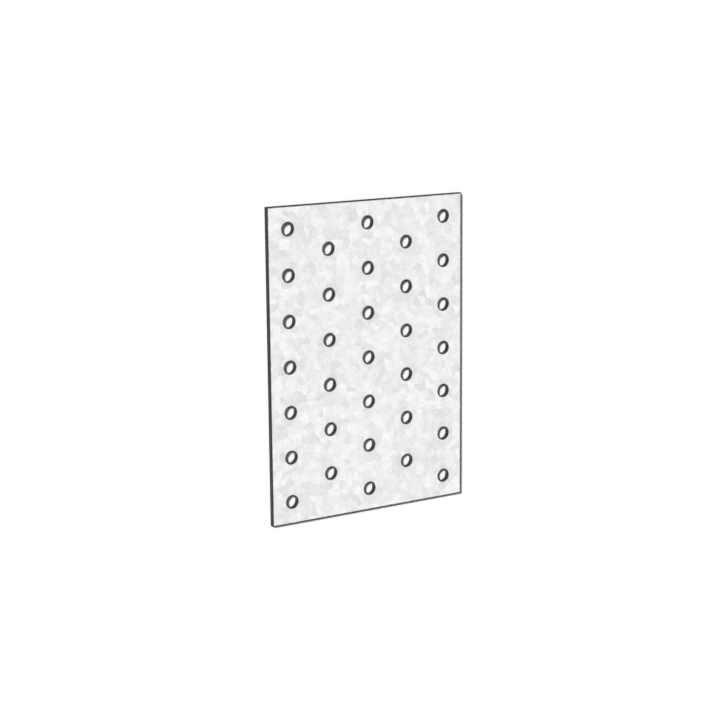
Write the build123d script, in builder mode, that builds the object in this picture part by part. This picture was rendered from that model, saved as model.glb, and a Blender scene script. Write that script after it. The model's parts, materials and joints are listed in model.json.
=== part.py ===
"""Punched nail plate: a flat steel sheet with a staggered field of round nail holes.

The sheet lies on its seating face, which is the plane Z = 0.  X runs across the width and
Y along the length, and the origin is the centre of the seating face.  Every hole was punched
from above, so its wall has three zones: a drawn-in lead at the rim, a land that is cut clean
at the full size, and a breakout that runs out a little wider at the seating face.
"""

import os

from build123d import *

# The blank
WIDTH = 100.0
LENGTH = 140.0
THICKNESS = 2.0
CORNER_RADIUS = 0.5
ROLLOVER_RADIUS = 0.4  # of the sheared outline, on the upper face

# The hole field: full columns, and between them columns that are set back by half a pitch
HOLE_DIAMETER = 5.0
COLUMN_PITCH = 20.0
ROW_PITCH = 20.0
SIDE_DISTANCE = 10.0
END_DISTANCE = 10.0

# The wall of each hole, from the rim down
LEAD_WIDTH = 0.4
LEAD_DEPTH = 0.3
BREAKOUT_WIDTH = 0.1
BREAKOUT_HEIGHT = 0.8

# The hole field, worked out from the sheet
COLUMNS = round((WIDTH - 2 * SIDE_DISTANCE) / COLUMN_PITCH) + 1
ROWS = round((LENGTH - 2 * END_DISTANCE) / ROW_PITCH) + 1
FULL_COLUMNS = (COLUMNS + 1) // 2
SET_BACK_COLUMNS = COLUMNS // 2


def punch_holes(columns, rows):
    """Punches every second column of the field, as one centred grid."""
    with GridLocations(2 * COLUMN_PITCH, ROW_PITCH, columns, rows):
        Hole(radius=HOLE_DIAMETER / 2)


with BuildPart() as perforated_sheet:
    with BuildSketch():
        Rectangle(WIDTH, LENGTH)
        fillet(vertices(), radius=CORNER_RADIUS)
    extrude(amount=THICKNESS)
    fillet(edges().group_by(Axis.Z)[-1], radius=ROLLOVER_RADIUS)

    punch_holes(FULL_COLUMNS, ROWS)
    punch_holes(SET_BACK_COLUMNS, ROWS - 1)

    upper_face = faces().sort_by(Axis.Z)[-1]
    hole_rims = upper_face.inner_wires().edges()
    chamfer(hole_rims, length=LEAD_WIDTH, length2=LEAD_DEPTH, reference=upper_face)

    seating_face = faces().sort_by(Axis.Z)[0]
    hole_exits = seating_face.inner_wires().edges()
    chamfer(hole_exits, length=BREAKOUT_WIDTH, length2=BREAKOUT_HEIGHT, reference=seating_face)

perforated_sheet.part.label = "perforated_sheet"

os.makedirs("parts", exist_ok=True)
export_step(perforated_sheet.part, "parts/perforated_sheet.step")
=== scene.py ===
import json
import math
from collections import defaultdict

import bmesh
import bpy
from mathutils import Matrix, Vector, noise


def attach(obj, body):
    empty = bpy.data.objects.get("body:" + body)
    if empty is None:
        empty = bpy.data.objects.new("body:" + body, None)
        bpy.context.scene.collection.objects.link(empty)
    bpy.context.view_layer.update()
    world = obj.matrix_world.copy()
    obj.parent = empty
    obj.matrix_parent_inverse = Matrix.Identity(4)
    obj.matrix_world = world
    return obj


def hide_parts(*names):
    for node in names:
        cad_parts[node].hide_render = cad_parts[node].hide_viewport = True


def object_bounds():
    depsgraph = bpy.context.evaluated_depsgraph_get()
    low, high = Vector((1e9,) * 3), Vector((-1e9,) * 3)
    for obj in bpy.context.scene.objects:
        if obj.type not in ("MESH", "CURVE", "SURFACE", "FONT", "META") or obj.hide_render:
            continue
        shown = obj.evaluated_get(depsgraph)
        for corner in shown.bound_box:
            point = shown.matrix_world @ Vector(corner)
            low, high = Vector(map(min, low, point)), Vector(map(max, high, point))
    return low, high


# The punched nail plate as one galvanised sheet that lies on the floor of a pale studio.

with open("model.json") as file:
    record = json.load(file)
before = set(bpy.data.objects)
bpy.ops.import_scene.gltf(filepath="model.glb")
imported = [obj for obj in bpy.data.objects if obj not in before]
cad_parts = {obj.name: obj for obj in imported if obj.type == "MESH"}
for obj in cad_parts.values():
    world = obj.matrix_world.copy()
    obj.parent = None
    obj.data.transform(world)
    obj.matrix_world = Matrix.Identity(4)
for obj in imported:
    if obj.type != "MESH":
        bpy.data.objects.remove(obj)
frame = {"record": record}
cad_low, cad_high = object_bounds()

MM = 0.001

# The camera looks down on the sheet from its -X side.  Angles are in degrees.
VIEW_AZIMUTH = -111.0
VIEW_ELEVATION = 56.4
VIEW_ROLL = 107.2
VIEW_DISTANCE = 0.7767
VIEW_AIM = Vector((-4.5, -0.7, 0.0)) * MM  # from the centre of the upper face
LENS = 88.0
SENSOR = 36.0

# The studio: radiances of its parts, and where the window and the key stand, as (azimuth, elevation)
FILL = 0.18
HORIZON = 1.0
MID_SKY = 0.78
SKY_FROM, SKY_TO = 0.1, 0.4  # sines of the elevations between which the horizon turns into mid sky
WINDOW = 1.15
WINDOW_AT = (-25, 58)
WINDOW_FROM, WINDOW_TO = 0.78, 0.97  # cosines of the angles to its middle, where it sets in and is full
KEY_AT = (150, 37.5)
KEY_SPREAD = 9.0  # degrees across
KEY_STRENGTH = 4.5  # an irradiance
FLOOR_COLOUR = (0.98, 0.98, 0.98, 1)
FLOOR_ROUGHNESS = 0.9
FLOOR_REACH = 12.0
FLOOR_DROP = 0.05 * MM  # below the seating face

# The walls of the holes
LEAD_WIDTH = 0.4 * MM
BREAKOUT_WIDTH = 0.10 * MM

# The sheared outline, from the upper face down
CORNER_RADIUS = 0.5 * MM
ROLLOVER = 0.4 * MM
OUTLINE_LAND = 0.5 * MM
OUTLINE_BREAKOUT = 0.07 * MM

# The break line between land and breakout, and the torn steel below it
BREAK_WAVE = 0.16 * MM  # how far the line wanders
HOLE_WAVE_SIZE = 1.3 * MM
OUTLINE_WAVE_SIZE = 1.7 * MM
BREAKOUT_CURVE = 0.6  # under 1, so that a breakout widens fastest just below the line
GRAIN_DEPTH = 0.025 * MM
GRAIN_SIZE = 0.35 * MM

# What the flat faces know of the edges, for the finish
RIM_SHEARED = 0.5  # how far the border of a flat face counts as sheared steel
BARE_MARGIN = 0.08 * MM  # width of the flat face beyond a rolled edge that is bare too
ZINC_FADE = CORNER_RADIUS - ROLLOVER - BARE_MARGIN  # and over which the zinc then sets in
HALO_REACH = 3.6 * MM  # how far from a hole the face still knows about it

# How finely the mesh follows all that
CELL_SIDE_STEPS = 16  # along each side of a hole's square cell
OUTLINE_SPLITS = 5  # of each of those steps, where a cell meets the outline
CORNER_STEPS = 6
ROLL_STEPS = 7
LAND_STEPS = 3
BREAKOUT_STEPS = 6
UPPER_RINGS = (1.0, 0.5, 0.25)  # of a halo, from its border in, in shares of its reach
LOWER_RINGS = (0.02, 0.25, 1.0)
SHARP_EDGE = 35.0  # degrees between faces, from which an edge isn't smoothed
WELD = 0.001 * MM


def stated_columns(record):
    """The hole centres, column by column: the stated holes, and the others evenly between them."""
    stated = defaultdict(dict)
    for mount in record["mounts"]:
        if mount["kind"] == "bore":
            column, row = (int(part[1:]) for part in mount["name"].split("_")[-2:])
            stated[column][row] = Vector(mount["pos_m"]).xy
    centres = []
    for column in sorted(stated):
        rows = stated[column]
        first, last = min(rows), max(rows)
        steps = last - first
        centres.append([rows[first].lerp(rows[last], step / steps) for step in range(steps + 1)])
    return centres


def stated_bore(record):
    """The radius of a hole, and the bottom and the top of its clean-cut land."""
    bore = next(mount for mount in record["mounts"] if mount["kind"] == "bore")
    half = bore["dims"]["length_mm"] * MM / 2
    middle = bore["pos_m"][2]
    return bore["dims"]["r_mm"] * MM, middle - half, middle + half


COLUMNS = stated_columns(frame["record"])
HOLE_RADIUS, LAND_BOTTOM, LAND_TOP = stated_bore(frame["record"])
BOTTOM, TOP = cad_low.z, cad_high.z
HALF_WIDTH, HALF_LENGTH = cad_high.x, cad_high.y
FLAT_X, FLAT_Y = HALF_WIDTH - CORNER_RADIUS, HALF_LENGTH - CORNER_RADIUS
CELL = COLUMNS[1][0].x - COLUMNS[0][0].x  # side of the square cell round each hole
CELL_STEP = CELL / CELL_SIDE_STEPS
AROUND = 4 * CELL_SIDE_STEPS

# The square map that the finish is baked through, in shares of its side.  The upper face takes
# the full height on the left.  Beside it lies the seating face, and above that the walls as strips.
MAP_GAP = 0.004
UPPER_SCALE = (1 - 2 * MAP_GAP) / (2 * HALF_LENGTH)
SIDE_LEFT = 2 * MAP_GAP + 2 * HALF_WIDTH * UPPER_SCALE
SIDE_WIDTH = 1 - MAP_GAP - SIDE_LEFT
LOWER_SCALE = SIDE_WIDTH / (2 * HALF_WIDTH)
STRIPS_FROM = 2 * MAP_GAP + 2 * HALF_LENGTH * LOWER_SCALE
OUTLINE_STRIPS = 8
STRIP_PITCH = (1 - STRIPS_FROM) / (OUTLINE_STRIPS + sum(len(column) for column in COLUMNS))


def on_upper_face(vert, *_):
    u = MAP_GAP + (vert.co.x + HALF_WIDTH) * UPPER_SCALE
    v = MAP_GAP + (vert.co.y + HALF_LENGTH) * UPPER_SCALE
    return u, v


def on_seating_face(vert, *_):
    u = SIDE_LEFT + (HALF_WIDTH - vert.co.x) * LOWER_SCALE
    v = MAP_GAP + (vert.co.y + HALF_LENGTH) * LOWER_SCALE
    return u, v


def on_strips(first, count, steps, rows):
    """A wall of so many steps round and rows down, laid out in count strips from the first on.

    Count has to divide steps.
    """
    per_strip = steps // count

    def place(vert, step, side, row):
        strip, along = divmod(step, per_strip)
        low = STRIPS_FROM + (first + strip) * STRIP_PITCH
        u = SIDE_LEFT + SIDE_WIDTH * (along + side) / per_strip
        v = low + (STRIP_PITCH - MAP_GAP) * (1 - row / rows)
        return u, v

    return place


def lumps(point, size):
    """Repeatable noise from -1 to 1, with lumps of that size."""
    return noise.noise(Vector(point) / size)


def clamp(value, limit):
    return max(-limit, min(limit, value))


def at(value, *place):
    """A value that may be a number or a function of the place."""
    return value(*place) if callable(value) else value


def on_flat(x, y, z):
    """A point of a flat face, moved in to that face's border where it lies outside it."""
    return Vector((clamp(x, FLAT_X), clamp(y, FLAT_Y), z))


def rolled_edge():
    """A rolled edge as (how far it still is from the wall, how far down it is), as shares of its size."""
    for step in range(ROLL_STEPS + 1):
        turn = math.pi / 2 * step / ROLL_STEPS
        yield 1 - math.sin(turn), 1 - math.cos(turn)


def sheared_at(down):
    """How far a rolled edge counts as sheared steel, that share of its height down."""
    return RIM_SHEARED + (1 - RIM_SHEARED) * down


def wavy(level, place, size):
    """The height of a break line that wanders about a level, with waves of that size."""
    return level + BREAK_WAVE * lumps((*place, 0), size)


def land_heights(top, break_line, share):
    """The heights that share of the way from the top of a land down to its break line."""
    return lambda place: top + (break_line(place) - top) * share


def breakout_heights(break_line, share):
    """The heights that share of the way from a break line down to the seating face."""
    return lambda place: BOTTOM + (break_line(place) - BOTTOM) * (1 - share)


class SheetMesh:
    """The mesh of the sheet, made ring by ring and welded at the end.

    Each vertex says how far it lies in sheared steel, in a breakout and in the halo of a hole.
    """

    def __init__(self):
        self.bm = bmesh.new()
        layers = self.bm.verts.layers.float
        self.marks = {name: layers.new(name) for name in ("sheared", "breakout", "halo")}
        self.map = self.bm.loops.layers.uv.new("OFBake")

    def points(self, places, **marks):
        made = []
        for place in places:
            vert = self.bm.verts.new(place)
            for name, value in marks.items():
                vert[self.marks[name]] = value
            made.append(vert)
        return made

    def face(self, corners, on_map):
        """corners are vertices, each with what on_map needs beside it to place it on the map."""
        made = self.bm.faces.new([corner[0] for corner in corners])
        for loop, corner in zip(made.loops, corners):
            loop[self.map].uv = on_map(*corner)

    def bridge(self, rings, on_map):
        """Joins each ring to the next one in."""
        for row, (outer, inner) in enumerate(zip(rings, rings[1:])):
            for step, vert in enumerate(outer):
                before = step - 1
                near = (outer[before], step, 0, row), (vert, step, 1, row)
                far = (inner[step], step, 1, row + 1), (inner[before], step, 0, row + 1)
                self.face(near + far, on_map)

    def finish(self, name):
        bmesh.ops.remove_doubles(self.bm, verts=self.bm.verts, dist=WELD)
        bmesh.ops.recalc_face_normals(self.bm, faces=self.bm.faces)
        for face in self.bm.faces:
            face.smooth = True
        for edge in self.bm.edges:
            edge.smooth = edge.calc_face_angle(0) < math.radians(SHARP_EDGE)
        mesh = bpy.data.meshes.new(name)
        self.bm.to_mesh(mesh)
        self.bm.free()
        return mesh


def square(centre, z):
    """Points round the square cell of a hole, from its +X -Y corner."""
    made = []
    for side in range(4):
        turn = Matrix.Rotation(side * math.pi / 2, 2)
        for step in range(CELL_SIDE_STEPS):
            place = centre + turn @ Vector((CELL / 2, step * CELL_STEP - CELL / 2))
            made.append(on_flat(place.x, place.y, z))
    return made


def circle(centre, reach, height):
    """Points round a hole, in step with its square, and so from an eighth of a turn before +X.

    reach and height are numbers or functions of a direction.
    """
    made = []
    for step in range(AROUND):
        angle = math.tau * (step / AROUND - 1 / 8)
        direction = Vector((math.cos(angle), math.sin(angle)))
        made.append(Vector((*(centre + direction * at(reach, direction)), at(height, direction))))
    return made


def add_hole(sheet, centre, strip):
    """The cell of one hole, from the upper face down the wall to the seating face."""

    def break_line(direction):
        return wavy(LAND_BOTTOM, centre + direction * HOLE_RADIUS, HOLE_WAVE_SIZE)

    def torn(share, heights):
        flare = HOLE_RADIUS + BREAKOUT_WIDTH * share**BREAKOUT_CURVE

        def radius(direction):
            place = (*(centre + direction * HOLE_RADIUS), heights(direction))
            return flare + GRAIN_DEPTH * lumps(place, GRAIN_SIZE)

        return radius

    rim = HOLE_RADIUS + LEAD_WIDTH
    bare = rim + BARE_MARGIN
    upper = [sheet.points(square(centre, TOP))]
    for share in UPPER_RINGS:
        upper.append(sheet.points(circle(centre, rim + share * HALO_REACH, TOP), halo=1 - share))
    upper.append(sheet.points(circle(centre, bare + ZINC_FADE, TOP), halo=1))
    upper.append(sheet.points(circle(centre, bare, TOP), sheared=RIM_SHEARED, halo=1))
    for away, down in rolled_edge():
        places = circle(centre, HOLE_RADIUS + away * LEAD_WIDTH, TOP + (LAND_TOP - TOP) * down)
        upper.append(sheet.points(places, sheared=sheared_at(down), halo=1))

    wall = [upper[-1]]
    for step in range(1, LAND_STEPS + 1):
        heights = land_heights(LAND_TOP, break_line, step / LAND_STEPS)
        wall.append(sheet.points(circle(centre, HOLE_RADIUS, heights), sheared=1, halo=1))
    for step in range(1, BREAKOUT_STEPS + 1):
        share = step / BREAKOUT_STEPS
        heights = breakout_heights(break_line, share)
        places = circle(centre, torn(share, heights), heights)
        wall.append(sheet.points(places, sheared=1, breakout=1, halo=1))

    lower = [wall[-1]]
    exit_radius = HOLE_RADIUS + BREAKOUT_WIDTH + GRAIN_DEPTH
    for share in LOWER_RINGS:
        places = circle(centre, exit_radius + share * HALO_REACH, BOTTOM)
        lower.append(sheet.points(places, halo=1 - share))
    lower.append(sheet.points(square(centre, BOTTOM)))

    sheet.bridge(upper, on_upper_face)
    sheet.bridge(wall, on_strips(strip, 1, AROUND, LAND_STEPS + BREAKOUT_STEPS))
    sheet.bridge(lower, on_seating_face)


def add_blank_end(sheet, x, y_from, y_to):
    """The unpunched end of a set-back column, on both faces."""
    rows = round((y_to - y_from) / CELL_STEP)
    left = x - CELL / 2
    for z, on_map in ((TOP, on_upper_face), (BOTTOM, on_seating_face)):
        grid = []
        for row in range(rows + 1):
            y = y_from + row * CELL_STEP
            places = [on_flat(left + i * CELL_STEP, y, z) for i in range(CELL_SIDE_STEPS + 1)]
            grid.append(sheet.points(places))
        for near, far in zip(grid, grid[1:]):
            for i in range(CELL_SIDE_STEPS):
                sheet.face([(vert,) for vert in (near[i], near[i + 1], far[i + 1], far[i])], on_map)


def border_spans():
    """The border of the flat faces, anticlockwise, as spans of (place, outward direction).

    A span is one step of a cell or one corner, and shares its ends with its neighbours.
    """
    spans = []
    for side in range(4):
        turn = Matrix.Rotation(side * math.pi / 2, 2)
        across, along = (FLAT_X, FLAT_Y) if side % 2 == 0 else (FLAT_Y, FLAT_X)
        reach = along + CORNER_RADIUS
        steps = round(2 * reach / CELL_STEP)
        marks = [clamp(step * CELL_STEP - reach, along) for step in range(steps + 1)]
        outward = turn @ Vector((1, 0))
        for start, end in zip(marks, marks[1:]):
            shares = [k / OUTLINE_SPLITS for k in range(OUTLINE_SPLITS + 1)]
            spans.append([(turn @ Vector((across, start + (end - start) * k)), outward) for k in shares])
        corner = turn @ Vector((across, along))
        turns = [Matrix.Rotation(math.pi / 2 * k / CORNER_STEPS, 2) for k in range(CORNER_STEPS + 1)]
        spans.append([(corner, turned @ outward) for turned in turns])
    return spans


def fill_border(sheet, spans, ring, z, on_map):
    """Joins a ring round the outline to the coarser border of the cells, one face to a span."""
    first = 0
    for span in spans:
        count = len(span) - 1
        outer = [ring[(first + k) % len(ring)] for k in range(count + 1)]
        first += count
        ends = [span[-1][0], span[0][0]]
        if (ends[0] - ends[1]).length < WELD:  # a corner turns about one point
            ends.pop()
        inner = sheet.points([Vector((*end, z)) for end in ends])
        sheet.face([(vert,) for vert in outer + inner], on_map)


def add_outline(sheet):
    """The sheared edge all round the sheet, joined to the cells' borders above and below."""
    spans = border_spans()
    stations = [station for span in spans for station in span[:-1]]
    land_top = TOP - ROLLOVER

    def break_line(place):
        return wavy(land_top - OUTLINE_LAND, place, OUTLINE_WAVE_SIZE)

    def torn(share):
        def inset(place, z):
            grain = GRAIN_DEPTH * (1 + lumps((*place, z), GRAIN_SIZE))
            return OUTLINE_BREAKOUT * share**BREAKOUT_CURVE + grain / 2

        return inset

    def ring(inset, height, **marks):
        """inset and height are numbers or functions of a place, inset of its height too."""
        places = []
        for place, outward in stations:
            z = at(height, place)
            depth = at(inset, place, z)
            places.append(Vector((*(place + outward * (CORNER_RADIUS - depth)), z)))
        return sheet.points(places, **marks)

    upper = [ring(ROLLOVER + BARE_MARGIN, TOP, sheared=RIM_SHEARED)]
    for away, down in rolled_edge():
        upper.append(ring(away * ROLLOVER, TOP - down * ROLLOVER, sheared=sheared_at(down)))

    wall = [upper[-1]]
    for step in range(1, LAND_STEPS + 1):
        wall.append(ring(0, land_heights(land_top, break_line, step / LAND_STEPS), sheared=1))
    for step in range(1, BREAKOUT_STEPS + 1):
        share = step / BREAKOUT_STEPS
        wall.append(ring(torn(share), breakout_heights(break_line, share), sheared=1, breakout=1))

    lower = [wall[-1], ring(ROLLOVER, BOTTOM)]
    sheet.bridge(upper, on_upper_face)
    sheet.bridge(wall, on_strips(0, OUTLINE_STRIPS, len(stations), LAND_STEPS + BREAKOUT_STEPS))
    sheet.bridge(lower, on_seating_face)
    fill_border(sheet, spans, upper[0], TOP, on_upper_face)
    fill_border(sheet, spans, lower[-1], BOTTOM, on_seating_face)


def make_sheet():
    sheet = SheetMesh()
    strip = OUTLINE_STRIPS
    for column in COLUMNS:
        for centre in column:
            add_hole(sheet, centre, strip)
            strip += 1
        x, near, far = column[0].x, column[0].y - CELL / 2, column[-1].y + CELL / 2
        if near > -HALF_LENGTH + CELL_STEP:
            add_blank_end(sheet, x, -HALF_LENGTH, near)
            add_blank_end(sheet, x, far, HALF_LENGTH)
    add_outline(sheet)
    piece = bpy.data.objects.new("steel_sheet", sheet.finish("steel_sheet"))
    bpy.context.scene.collection.objects.link(piece)
    return piece


class Graph:
    """Adds nodes to one node tree.  Every value may be a number, a vector or another node's output."""

    def __init__(self, tree):
        self.tree = tree

    def node(self, kind, inputs=None, **settings):
        made = self.tree.nodes.new("ShaderNode" + kind)
        for name, value in settings.items():
            setattr(made, name, value)
        for name, value in (inputs or {}).items():
            self.put(value, made.inputs[name])
        return made

    def put(self, value, socket):
        if isinstance(value, bpy.types.NodeSocket):
            self.tree.links.new(value, socket)
        else:
            socket.default_value = value

    def math(self, operation, *values):
        return self.node("Math", dict(enumerate(values)), operation=operation).outputs[0]

    def vector(self, operation, *values):
        return self.node("VectorMath", dict(enumerate(values)), operation=operation).outputs[0]

    def scaled(self, vector, factor):
        return self.node("VectorMath", {"Vector": vector, "Scale": factor}, operation="SCALE").outputs[0]

    def centred(self, colour):
        """A random colour as a vector with 0 in its middle."""
        return self.vector("SUBTRACT", colour, (0.5, 0.5, 0.5))

    def noise(self, place, scale=1.0, detail=2.0, roughness=0.5):
        """Noise centred on 0, about -1 to 1."""
        inputs = {"Vector": place, "Scale": scale, "Detail": detail, "Roughness": roughness}
        return self.between(self.node("TexNoise", inputs).outputs["Fac"], 0.25, 0.75, -1, 1)

    def stretched_noise(self, place, scales, **settings):
        """The same with a scale of its own for each axis."""
        return self.noise(self.vector("MULTIPLY", place, scales), **settings)

    def between(self, value, low, high, to_low=0.0, to_high=1.0, smooth=False):
        inputs = {"Value": value, "From Min": low, "From Max": high, "To Min": to_low, "To Max": to_high}
        kind = "SMOOTHSTEP" if smooth else "LINEAR"
        return self.node("MapRange", inputs, interpolation_type=kind).outputs[0]

    def sum(self, base, *terms):
        """base plus each (amount, value) of the terms."""
        total = base
        for amount, value in terms:
            total = self.math("MULTIPLY_ADD", value, amount, total)
        return total

    def mixed(self, share, first, second):
        """Mix has its two numbers in places 2 and 3."""
        return self.node("Mix", {0: share, 2: first, 3: second}).outputs[0]

    def mixed_colour(self, share, first, second):
        """Mix has its two colours in places 6 and 7, and the mixed one in place 2."""
        made = self.node("Mix", data_type="RGBA")
        self.put(share, made.inputs[0])
        self.put(first, made.inputs[6])
        self.put(second, made.inputs[7])
        return made.outputs[2]

    def attribute(self, name):
        return self.node("Attribute", attribute_name=name).outputs["Fac"]


# The zinc coat.  Colours are linear, lengths in millimetres and scales in lumps to the millimetre.
ZINC_DARK = (0.64, 0.655, 0.68, 1)
ZINC_LIGHT = (0.90, 0.905, 0.905, 1)
ZINC_SHARE = 0.64  # of the light zinc, before its marks
ZINC_ROUGHNESS = 0.40
SPANGLE_SIZE = 3.2
BEND, BEND_SCALE = 2.4, 0.5  # how far the crystals' borders wander
SEAM_WIDTH = 0.03  # of the border between crystals, as a share of their size
ARMS = 6  # of each crystal
ARM_TURNS = 9.0  # by up to so many arms a crystal is turned
SPINE_WIDTH = 0.05
FROND_SCALES = (0.5, 5.0, 1.0)  # along the arm, across it and up
CRYSTAL_TILT = 0.08
ROLLING_SCALES = (3.5, 0.03, 1.0)  # so the rolling lines run along Y
CLOUD_SCALE = 0.045
UNDERSIDE_SHIFT = (37.0, 11.0, 0.0)  # so that the underside has crystals of its own

# What each mark of the zinc adds to its share of light zinc, to its roughness and to its height
MARKS_IN_LIGHT = {
    "tone": 0.28,
    "shade": 0.18,
    "frond": 0.45,
    # spine: the ridge along each crystal's arm is in the relief, and its lighter colour is a painted
    # highlight on that ridge
    "spine": 0.30,
    "rolling": 0.08,
    "clouds": 0.08,
    "seam": -0.15,
    # halo: painted shade, darker towards each hole's rim, where a dished face round the hole would shade
    "halo": -0.10,
}
MARKS_IN_ROUGHNESS = {
    "dullness": 0.06,
    "shade": 0.03,
    "frond": 0.08,
    "rolling": 0.03,
    "clouds": 0.04,
    "halo": 0.04,
}
MARKS_IN_HEIGHT = {"frond": 0.8, "spine": 0.6, "rolling": 0.5, "seam": -0.8}

# A darker band of the zinc along every cut edge and round every hole, which deepens the dark lines there
EDGE_BAND_ZINC = (0.22, 0.225, 0.235, 1)
EDGE_BAND_ROUGHNESS = 0.08  # more than the rest
EDGE_BAND_REACH = 0.5  # from a cut edge in
EDGE_BAND_WANDER = ((0.10, 0.6), (0.03, 3.0))  # how far its border wanders, and at what scale

# Where the zinc ends: between these two of the sheared mark, with a smeared border
BARE_FROM, BARE_TO = 0.1, 0.4
SMEAR, SMEAR_SCALE = 0.1, 1.6

# The bare steel, with colours from its darkest to its lightest
LAND_DARK, LAND_LIGHT = (0.035, 0.035, 0.0365, 1), (0.07, 0.07, 0.073, 1)
LAND_ROUGHNESS = 0.34
STREAK_SCALES = (5.0, 5.0, 0.5)  # long down the wall
STREAK_ROUGHNESS, STREAK_HEIGHT = 0.06, 2.0
TORN_DARK, TORN_LIGHT = (0.015, 0.015, 0.016, 1), (0.04, 0.04, 0.0415, 1)
TORN_ROUGHNESS = 0.62
TORN_FROM, TORN_TO = 0.35, 0.65  # of the breakout mark, between which the land turns torn
GRAIN_SCALE = 5.0
GRAIN_WANDER, GRAIN_ROUGHNESS, GRAIN_HEIGHT = 0.2, 0.08, 12.0

RELIEF = 0.003 * MM  # what a height of 1 stands for


def spangle(graph, place):
    """The marks that the crystals of a small spangle make, and the crystals' tilt.

    A crystal grows from its centre along six arms, so its fronds run along the nearest arm.
    """
    wander = graph.node("TexNoise", {"Vector": place, "Scale": BEND_SCALE, "Detail": 4.0})
    wander = graph.centred(wander.outputs["Color"])
    bent = graph.vector("ADD", place, graph.scaled(wander, BEND))
    cells = {"Vector": bent, "Scale": 1 / SPANGLE_SIZE}
    crystal = graph.node("TexVoronoi", cells, voronoi_dimensions="2D").outputs
    border = graph.node("TexVoronoi", cells, voronoi_dimensions="2D", feature="DISTANCE_TO_EDGE").outputs
    chance = graph.node("SeparateColor", {"Color": crystal["Color"]}).outputs

    away = graph.node("SeparateXYZ", {0: graph.vector("SUBTRACT", bent, crystal["Position"])}).outputs
    reach = graph.math("SQRT", graph.sum(0.0, (away["X"], away["X"]), (away["Y"], away["Y"])))
    bearing = graph.math("ARCTAN2", away["Y"], away["X"])
    start = graph.math("MULTIPLY", chance[2], ARM_TURNS)
    turns = graph.math("ADD", graph.math("MULTIPLY", bearing, ARMS / math.tau), start)
    arm = graph.math("ROUND", turns)
    off_arm = graph.math("SUBTRACT", turns, arm)
    off_spine = graph.math("MULTIPLY", graph.math("ABSOLUTE", off_arm), reach)
    heading = graph.math("SUBTRACT", graph.math("MULTIPLY", off_arm, math.tau / ARMS), bearing)
    turned = graph.node("VectorRotate", {"Vector": place, "Angle": heading}, rotation_type="Z_AXIS")
    shade = graph.node("TexWhiteNoise", {"Vector": crystal["Color"], "W": arm}, noise_dimensions="4D")
    marks = {
        "tone": graph.between(chance[0], 0, 1, -1, 1),
        "dullness": graph.between(chance[1], 0, 1, -1, 1),
        "shade": graph.between(shade.outputs["Value"], 0, 1, -1, 1),
        "frond": graph.stretched_noise(turned.outputs[0], FROND_SCALES, detail=3, roughness=0.6),
        "spine": graph.between(off_spine, 0.0, SPINE_WIDTH, 1, 0, smooth=True),
        "seam": graph.between(border["Distance"], 0.0, SEAM_WIDTH, 1, 0, smooth=True),
    }
    return marks, graph.centred(crystal["Color"])


def zinc(graph, place, halo):
    """Colour, roughness and height of the zinc coat, and its crystals' tilt."""
    marks, tilt = spangle(graph, place)
    marks["rolling"] = graph.stretched_noise(place, ROLLING_SCALES, detail=3)
    marks["clouds"] = graph.noise(place, CLOUD_SCALE, detail=3)
    marks["halo"] = halo

    def marked(base, amounts):
        return graph.sum(base, *((amount, marks[name]) for name, amount in amounts.items()))

    colour = graph.mixed_colour(marked(ZINC_SHARE, MARKS_IN_LIGHT), ZINC_DARK, ZINC_LIGHT)
    return colour, marked(ZINC_ROUGHNESS, MARKS_IN_ROUGHNESS), marked(0.0, MARKS_IN_HEIGHT), tilt


def sheared_steel(graph, place, breakout):
    """Colour, roughness and height of a sheared edge: streaks on the land, grains in the breakout."""
    streaks = graph.stretched_noise(place, STREAK_SCALES, detail=3)
    grains = graph.noise(place, GRAIN_SCALE, detail=4, roughness=0.65)
    torn = graph.sum(breakout, (GRAIN_WANDER, grains))
    torn = graph.between(torn, TORN_FROM, TORN_TO, smooth=True)
    land = graph.mixed_colour(graph.between(streaks, -1, 1), LAND_DARK, LAND_LIGHT)
    deep = graph.mixed_colour(graph.between(grains, -1, 1), TORN_DARK, TORN_LIGHT)
    land_roughness = graph.sum(LAND_ROUGHNESS, (STREAK_ROUGHNESS, streaks))
    deep_roughness = graph.sum(TORN_ROUGHNESS, (GRAIN_ROUGHNESS, grains))
    land_height = graph.math("MULTIPLY", streaks, STREAK_HEIGHT)
    deep_height = graph.math("MULTIPLY", grains, GRAIN_HEIGHT)
    colour = graph.mixed_colour(torn, land, deep)
    roughness = graph.mixed(torn, land_roughness, deep_roughness)
    return colour, roughness, graph.mixed(torn, land_height, deep_height)


def darker_edge_band(graph, place, halo):
    """How far the zinc turns darker in the band along the cut edges, from the nearest cut edge in."""
    away = graph.node("SeparateXYZ", {0: graph.vector("ABSOLUTE", place)}).outputs
    from_side = graph.math("SUBTRACT", (HALF_WIDTH - ROLLOVER) / MM, away["X"])
    from_end = graph.math("SUBTRACT", (HALF_LENGTH - ROLLOVER) / MM, away["Y"])
    from_hole = graph.between(halo, 1, 0, 0, HALO_REACH / MM)
    distance = graph.math("MINIMUM", graph.math("MINIMUM", from_side, from_end), from_hole)
    distance = graph.sum(distance, *((far, graph.noise(place, scale)) for far, scale in EDGE_BAND_WANDER))
    return graph.between(distance, 0, EDGE_BAND_REACH, 1, 0, smooth=True)


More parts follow.
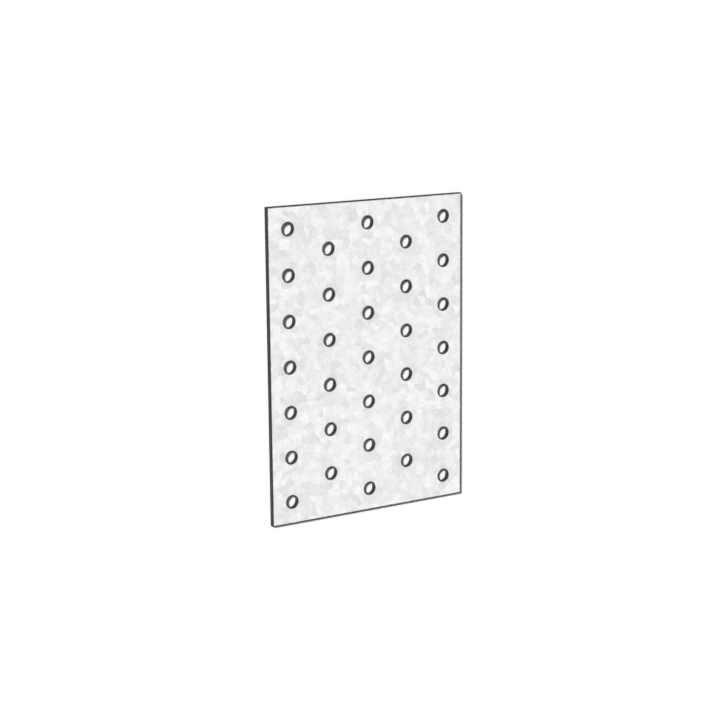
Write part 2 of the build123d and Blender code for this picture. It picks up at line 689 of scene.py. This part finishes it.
def galvanised_steel():
    material = bpy.data.materials.new("galvanised_steel")
    material.use_nodes = True
    graph = Graph(material.node_tree)
    shader = material.node_tree.nodes["Principled BSDF"]
    shader.inputs["Metallic"].default_value = 1
    place = graph.scaled(graph.node("TexCoord").outputs["Object"], 1 / MM)
    level = graph.node("SeparateXYZ", {0: place}).outputs["Z"]
    underside = graph.math("LESS_THAN", level, (TOP + BOTTOM) / 2 / MM)
    halo = graph.attribute("halo")
    edge_band = darker_edge_band(graph, place, halo)
    place = graph.vector("ADD", place, graph.scaled(UNDERSIDE_SHIFT, underside))
    zinc_colour, zinc_roughness, zinc_height, tilt = zinc(graph, place, halo)
    # The zinc turns darker within half a millimetre of every cut edge and hole
    zinc_colour = graph.mixed_colour(edge_band, zinc_colour, EDGE_BAND_ZINC)
    zinc_roughness = graph.sum(zinc_roughness, (EDGE_BAND_ROUGHNESS, edge_band))
    breakout = graph.attribute("breakout")
    steel_colour, steel_roughness, steel_height = sheared_steel(graph, place, breakout)

    smeared = graph.sum(graph.attribute("sheared"), (SMEAR, graph.noise(place, SMEAR_SCALE, detail=3)))
    bare = graph.between(smeared, BARE_FROM, BARE_TO, smooth=True)
    graph.put(graph.mixed_colour(bare, zinc_colour, steel_colour), shader.inputs["Base Color"])
    graph.put(graph.mixed(bare, zinc_roughness, steel_roughness), shader.inputs["Roughness"])
    normal = graph.node("NewGeometry").outputs["Normal"]
    tilted = graph.vector("ADD", normal, graph.scaled(tilt, graph.between(bare, 0, 1, CRYSTAL_TILT, 0)))
    relief = {
        "Height": graph.mixed(bare, zinc_height, steel_height),
        "Distance": RELIEF,
        "Normal": graph.vector("NORMALIZE", tilted),
    }
    graph.put(graph.node("Bump", relief).outputs["Normal"], shader.inputs["Normal"])
    return material


def make_floor():
    mesh = bpy.data.meshes.new("floor")
    signs = ((-1, -1), (1, -1), (1, 1), (-1, 1))
    corners = [(x * FLOOR_REACH, y * FLOOR_REACH, -FLOOR_DROP) for x, y in signs]
    mesh.from_pydata(corners, [], [(0, 1, 2, 3)])
    floor = bpy.data.objects.new("floor", mesh)
    bpy.context.scene.collection.objects.link(floor)
    material = bpy.data.materials.new("floor")
    material.use_nodes = True
    shader = material.node_tree.nodes["Principled BSDF"]
    shader.inputs["Base Color"].default_value = FLOOR_COLOUR
    shader.inputs["Roughness"].default_value = FLOOR_ROUGHNESS
    shader.inputs["Specular IOR Level"].default_value = 0.0
    mesh.materials.append(material)


def direction(azimuth, elevation):
    """Unit vector towards a place in the sky.  Azimuth is in degrees from +X towards +Y."""
    a, e = math.radians(azimuth), math.radians(elevation)
    return Vector((math.cos(a) * math.cos(e), math.sin(a) * math.cos(e), math.sin(e)))


def make_world():
    """A plain fill for the floor, and a pale studio with one soft window for what is seen or mirrored."""
    world = bpy.data.worlds.new("studio")
    bpy.context.scene.world = world
    world.use_nodes = True
    graph = Graph(world.node_tree)
    toward = graph.node("TexCoord").outputs["Generated"]
    height = graph.node("SeparateXYZ", {0: toward}).outputs["Z"]
    sky = graph.between(height, SKY_FROM, SKY_TO, HORIZON, MID_SKY, smooth=True)
    facing = graph.node("VectorMath", {0: toward, 1: direction(*WINDOW_AT)}, operation="DOT_PRODUCT")
    facing = facing.outputs["Value"]
    window = graph.between(facing, WINDOW_FROM, WINDOW_TO, 0, WINDOW - MID_SKY, smooth=True)
    ray = graph.node("LightPath").outputs
    seen = graph.math("MAXIMUM", ray["Is Camera Ray"], ray["Is Glossy Ray"])
    seen = graph.math("MAXIMUM", seen, ray["Is Transmission Ray"])
    strength = graph.mixed(seen, FILL, graph.math("ADD", sky, window))
    graph.put(strength, world.node_tree.nodes["Background"].inputs["Strength"])
    graph.put((1, 1, 1, 1), world.node_tree.nodes["Background"].inputs["Color"])


def make_key():
    """The lamp that lights the floor and casts the shadow.  The sheet doesn't mirror it."""
    lamp = bpy.data.lights.new("key", "SUN")
    lamp.angle = math.radians(KEY_SPREAD)
    lamp.energy = KEY_STRENGTH
    key = bpy.data.objects.new("key", lamp)
    bpy.context.scene.collection.objects.link(key)
    key.visible_glossy = False
    key.rotation_euler = direction(*KEY_AT).to_track_quat("Z", "Y").to_euler()


def make_camera():
    camera = bpy.data.cameras.new("camera")
    camera.lens, camera.sensor_width = LENS, SENSOR
    camera.clip_start, camera.clip_end = 0.01, 100
    holder = bpy.data.objects.new("camera", camera)
    bpy.context.scene.collection.objects.link(holder)
    turn = (
        Matrix.Rotation(math.radians(VIEW_AZIMUTH), 4, "Z")
        @ Matrix.Rotation(math.radians(90 - VIEW_ELEVATION), 4, "X")
        @ Matrix.Rotation(math.radians(VIEW_ROLL), 4, "Z")
    )
    centre = Vector((0, 0, TOP))
    aim = centre + VIEW_AIM
    back = turn.to_3x3() @ Vector((0, 0, 1))
    holder.matrix_world = Matrix.Translation(aim + back * VIEW_DISTANCE) @ turn
    bpy.context.scene.camera = holder


make_camera()
make_world()
make_key()
make_floor()
sheet = make_sheet()
sheet.data.materials.append(galvanised_steel())
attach(sheet, "root")
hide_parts("perforated_sheet")
bpy.context.scene.view_settings.view_transform = "Standard"
